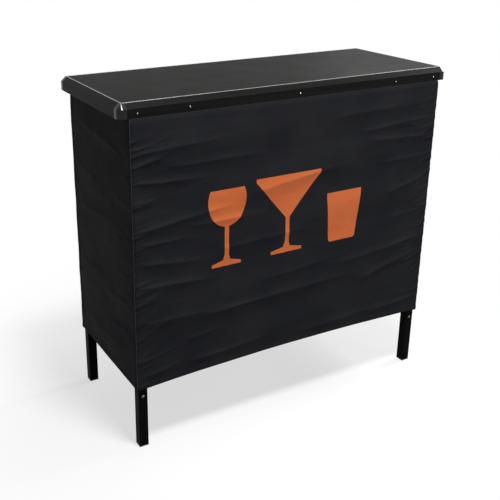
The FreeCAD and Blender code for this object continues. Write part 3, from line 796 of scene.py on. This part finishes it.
def tape_section():
    """The tape's flat section with chamfered edges, behind the cloth and just inside the solid's box."""
    front = FRONT_FACE + CLOTH + TAPE_BEHIND
    back = tape_high[1]
    low = tape_low[2] + TAPE_SLIP
    high = tape_high[2] - TAPE_SLIP
    return (
        (front, low + TAPE_CHAMFER),
        (front, high - TAPE_CHAMFER),
        (front + TAPE_CHAMFER, high),
        (back - TAPE_CHAMFER, high),
        (back, high - TAPE_CHAMFER),
        (back, low + TAPE_CHAMFER),
        (back - TAPE_CHAMFER, low),
        (front + TAPE_CHAMFER, low),
    )


def make_hook_tape():
    points = []
    faces = []
    section = tape_section()
    stations = spaced(tape_low[0], tape_high[0], TAPE_STEP)
    for x in stations:
        sag = TAPE_SAG * abs(noise.noise(Vector((x * TAPE_CHANGES, 0, 0))))
        points += [Vector((x, y, z - sag)) for y, z in section]
    join_rings(0, len(stations), len(section), faces)
    mesh = mesh_from("hook_tape", points, faces)
    return add_piece("hook_tape", mesh, "hook_tape", "skirt", False)


def lathe(profile, centre, facing, points, faces, sides=28):
    """A turned fastener: profile gives radius and height out from the face in mm, from rim to middle."""
    first = len(points)
    for radius, height in profile:
        for turn in range(sides):
            angle = 2 * math.pi * turn / sides
            around = Vector((radius * math.cos(angle), facing * height, radius * math.sin(angle)))
            points.append(centre + around * MM)
    turned = []
    join_rings(first, len(profile), sides, turned)
    faces += [face if facing > 0 else face[::-1] for face in turned]


RIVET_HEAD = 3.8
RIVET_PROFILE = ((2.4, -2.0), (2.4, 0.0), (3.7, 0.0), (RIVET_HEAD, 0.3), (3.5, 0.8), (2.8, 1.2), (2.1, 1.35))
RIVET_CORE = ((2.0, 1.0), (2.0, 1.4), (1.7, 1.75), (1.1, 2.0), (0.4, 2.1))
RIVET_PARTS = (("heads", RIVET_PROFILE, "long_rail"), ("cores", RIVET_CORE, "fastener_steel"))
rivets_low, rivets_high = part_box("front_rail_rivets")
member_low, member_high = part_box("right_cross_member")
corner_rivet = rivets_high[0] - RIVET_HEAD * MM
member_rivet = (member_low[0] + member_high[0]) / 2
RIVET_PLACES = (-corner_rivet, -member_rivet, 0.0, member_rivet, corner_rivet)
RIVET_LEVEL = (rivets_low[2] + rivets_high[2]) / 2


def make_rivets(name, facing, node):
    """Painted rivet heads with a bright core, in place of the plain solid rivets."""
    for part, profile, finish in RIVET_PARTS:
        points = []
        faces = []
        for x in RIVET_PLACES:
            lathe(profile, Vector((x, -facing * rail_low[1], RIVET_LEVEL)), facing, points, faces)
        mesh = mesh_from(f"{name}_{part}", points, faces)
        item = add_piece(f"{name}_{part}", mesh, finish, "top")
        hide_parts(node)


stitching = make_stitching()
welts = make_welts()
tape = make_hook_tape()
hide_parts("skirt_hook_tape")
make_rivets("front_rivet", -1, "front_rail_rivets")
make_rivets("back_rivet", 1, "back_rail_rivets")


# The print: a plain row of drinking glasses, each drawn from the middle of its foot in metres

def arc(centre_z, radius_x, radius_z, start, end, count=20):
    points = []
    for angle in spaced(math.radians(start), math.radians(end), math.radians(end - start) / count):
        points.append((radius_x * math.cos(angle), centre_z + radius_z * math.sin(angle)))
    return points


STEM = 0.006
NECK = 1.8 * STEM
FOOT_EDGE = 0.008
NECK_HEIGHT = 0.016
STEM_START = 0.03


def foot_and_stem(foot, stem_top):
    """The right half of a stemmed glass's foot and stem, from the middle of the foot upward."""
    base = [(0.0, 0.0), (foot, 0.0), (foot, FOOT_EDGE)]
    return base + [(NECK, NECK_HEIGHT), (STEM, STEM_START), (STEM, stem_top)]


def mirrored(half):
    return half + [(-x, z) for x, z in reversed(half) if x > 0]


def cocktail_glass(foot=0.048, stem_top=0.098, rim=0.098, rim_start=0.205, height=0.214):
    return mirrored(foot_and_stem(foot, stem_top) + [(rim, rim_start), (rim, height)])


def wine_glass(foot=0.042, stem_top=0.104, bowl_middle=0.172, bowl=0.054, bowl_rise=0.066):
    return mirrored(foot_and_stem(foot, stem_top) + arc(bowl_middle, bowl, bowl_rise, -83, 28))


def tumbler(base=0.040, side_start=0.044, chamfer=0.006, rim=0.056, rim_start=0.132, height=0.14):
    return mirrored([(0.0, 0.0), (base, 0.0), (side_start, chamfer), (rim, rim_start), (rim, height)])


PRINT_BASE = 0.46
PRINT_STEP = 0.0026
PRINT_FILM = 0.0004
PRINT_CLEAR = 0.6 * PRINT_STEP
PRINT_SHARP = math.radians(40)
MERGE = 1e-6
FILL_INSIDE = 1
MOTIFS = ((-0.205, wine_glass()), (-0.025, cocktail_glass()), (0.155, tumbler()))


def dense(outline, step):
    points = []
    for (x0, z0), (x1, z1) in zip(outline, outline[1:] + outline[:1]):
        count = max(1, math.ceil(math.hypot(x1 - x0, z1 - z0) / step))
        for index in range(count):
            share = index / count
            points.append(Vector((x0 + (x1 - x0) * share, z0 + (z1 - z0) * share)))
    return points


def inside(outline, x, z):
    odd = False
    for (x0, z0), (x1, z1) in zip(outline, outline[1:] + outline[:1]):
        if (z0 > z) != (z1 > z) and x < x0 + (x1 - x0) * (z - z0) / (z1 - z0):
            odd = not odd
    return odd


def filled(outline):
    """A motif's flat points and triangles, fine enough to follow the cloth."""
    rim = dense(outline, PRINT_STEP)
    edges = [(index, (index + 1) % len(rim)) for index in range(len(rim))]
    wide = max(spot.x for spot in rim)
    tall = max(spot.y for spot in rim)
    flat = list(rim)
    for x in spaced(-wide, wide, PRINT_STEP):
        for z in spaced(0.0, tall, PRINT_STEP):
            spot = Vector((x, z))
            if inside(outline, x, z) and min((spot - other).length for other in rim) > PRINT_CLEAR:
                flat.append(spot)
    result = delaunay_2d_cdt(flat, edges, [list(range(len(rim)))], FILL_INSIDE, MERGE)
    return result[0], result[2]


def make_print():
    """Each motif as a thin film of ink on the cloth: an upper face, a lower face and the rim between them."""
    points = []
    faces = []
    for centre, outline in MOTIFS:
        spots, triangles = filled(outline)
        upper = len(points)
        lower = upper + len(spots)
        for proud in (PRINT_FILM, PRINT_FILM / 2):
            points += [front_spot(centre + spot.x, PRINT_BASE + spot.y, proud) for spot in spots]
        sides = set()
        for face in triangles:
            faces.append([upper + index for index in face])
            faces.append([lower + index for index in reversed(face)])
            sides.update(zip(face, face[1:] + face[:1]))
        for first, second in sorted(sides):
            if (second, first) not in sides:
                faces.append([upper + second, upper + first, lower + first, lower + second])
    mesh = mesh_from("front_print", points, faces)
    item = add_piece("front_print", mesh, "print_ink", "skirt")
    mesh.set_sharp_from_angle(angle=PRINT_SHARP)
    return item


artwork = make_print()


# Stage, light and camera

def maths(tree, operation, first, second):
    node = tree.nodes.new("ShaderNodeMath")
    node.operation = operation
    tree.links.new(first, node.inputs[0])
    tree.links.new(second, node.inputs[1])
    return node.outputs[0]


def show_white(tree, plain, output, share=None):
    """Shows white to the camera and in reflections, by a share or wholly, and keeps the rest as lit."""
    path = tree.nodes.new("ShaderNodeLightPath").outputs
    seen = maths(tree, "MAXIMUM", path["Is Camera Ray"], path["Is Glossy Ray"])
    seen = maths(tree, "MAXIMUM", seen, path["Is Transmission Ray"])
    if share is not None:
        seen = maths(tree, "MULTIPLY", seen, share)
    white = tree.nodes.new("ShaderNodeEmission")
    white.inputs["Strength"].default_value = 1.0
    mixed = tree.nodes.new("ShaderNodeMixShader")
    tree.links.new(seen, mixed.inputs[0])
    tree.links.new(plain, mixed.inputs[1])
    tree.links.new(white.outputs[0], mixed.inputs[2])
    tree.links.new(mixed.outputs[0], output)


FLOOR_SIZE = 14
FLOOR_DROP = 0.0004
FLOOR_LIT = 0.4
FLOOR_SEEN = 0.6
FLOOR_ROUGHNESS = 0.9
# How much of the white the floor shows: near the object, where the real cast shadow shows through and the
# lower share also greys the lit floor as a painted shadow pool, and far from it.
FLOOR_WHITE_AND_SHADE_POOL = (("From Min", 0.5), ("From Max", 1.1), ("To Min", 0.62), ("To Max", 1.0))


def make_floor():
    bpy.ops.mesh.primitive_plane_add(size=FLOOR_SIZE, location=(0, 0, -FLOOR_DROP))
    floor = bpy.context.object
    floor.name = "floor"
    material = bpy.data.materials.new("pale_floor")
    material.use_nodes = True
    tree = material.node_tree
    shader = tree.nodes["Principled BSDF"]
    shader.inputs["Roughness"].default_value = FLOOR_ROUGHNESS
    shader.inputs["Specular IOR Level"].default_value = 0.0
    shade = tree.nodes.new("ShaderNodeMix")
    shade.data_type = "RGBA"
    shade.inputs["A"].default_value = (*grey(FLOOR_LIT), 1)
    shade.inputs["B"].default_value = (*grey(FLOOR_SEEN), 1)
    seen = tree.nodes.new("ShaderNodeLightPath").outputs["Is Camera Ray"]
    tree.links.new(seen, shade.inputs["Factor"])
    tree.links.new(shade.outputs["Result"], shader.inputs["Base Color"])
    length = tree.nodes.new("ShaderNodeVectorMath")
    length.operation = "LENGTH"
    tree.links.new(tree.nodes.new("ShaderNodeTexCoord").outputs["Object"], length.inputs[0])
    # Less white near the object: the floor there shows its lit shading with the real shadow, plus a painted
    # grey pool that fades out with distance.
    white_share_and_shade_pool = tree.nodes.new("ShaderNodeMapRange")
    white_share_and_shade_pool.interpolation_type = "SMOOTHSTEP"
    for key, number in FLOOR_WHITE_AND_SHADE_POOL:
        white_share_and_shade_pool.inputs[key].default_value = number
    tree.links.new(length.outputs["Value"], white_share_and_shade_pool.inputs["Value"])
    surface = tree.nodes["Material Output"].inputs["Surface"]
    show_white(tree, shader.outputs[0], surface, white_share_and_shade_pool.outputs["Result"])
    floor.data.materials.append(material)


WORLD_LIGHT = 0.25


def make_world():
    world = bpy.data.worlds.new("studio")
    scene.world = world
    world.use_nodes = True
    tree = world.node_tree
    plain = tree.nodes["Background"]
    plain.inputs["Color"].default_value = (1, 1, 1, 1)
    plain.inputs["Strength"].default_value = WORLD_LIGHT
    show_white(tree, plain.outputs[0], tree.nodes["World Output"].inputs["Surface"])


# Soft lamps as name, place, target and size in metres, then watts.
LAMPS = (
    ("key", (3.1, 0.1, 2.2), (0, 0, 0.3), (1.2, 1.2), 130),
    ("front_top", (-0.18, -0.95, 3.1), (0, -0.2, 0.4), (0.5, 0.5), 115),
    ("back_glow", (2.4, 1.9, 2.3), (0, 0, 0.3), (1.2, 1.2), 18),
    ("right_fill", (2.4, -3.0, 1.1), (0, 0, 0.5), (1.4, 0.6), 30),
)


def make_lamps():
    for name, place, target, size, watts in LAMPS:
        lamp = bpy.data.lights.new(name, "AREA")
        lamp.shape = "RECTANGLE"
        lamp.size, lamp.size_y = size
        lamp.energy = watts
        item = bpy.data.objects.new(name, lamp)
        item.location = place
        item.rotation_euler = (Vector(target) - Vector(place)).to_track_quat("-Z", "Y").to_euler()
        scene.collection.objects.link(item)


EYE = Vector((-1.131, -1.754, 1.287))
YAW = math.radians(28.58)
PITCH = math.radians(-19.79)
FOCAL_PIXELS = 792.4
IMAGE_PIXELS = 500
FILM = 36.0
SHIFT = 0.1


def make_camera():
    camera = bpy.data.cameras.new("camera")
    camera.sensor_width = FILM
    camera.lens = FILM * FOCAL_PIXELS / IMAGE_PIXELS
    camera.shift_x = SHIFT
    camera.shift_y = -SHIFT
    item = bpy.data.objects.new("camera", camera)
    ahead = Vector((math.sin(YAW) * math.cos(PITCH), math.cos(YAW) * math.cos(PITCH), math.sin(PITCH)))
    level = Vector((math.cos(YAW), -math.sin(YAW), 0.0))
    turn = Matrix((level, level.cross(ahead), -ahead)).transposed().to_4x4()
    item.matrix_world = Matrix.Translation(EYE) @ turn
    scene.collection.objects.link(item)
    scene.camera = item


make_floor()
make_world()
make_lamps()
make_camera()
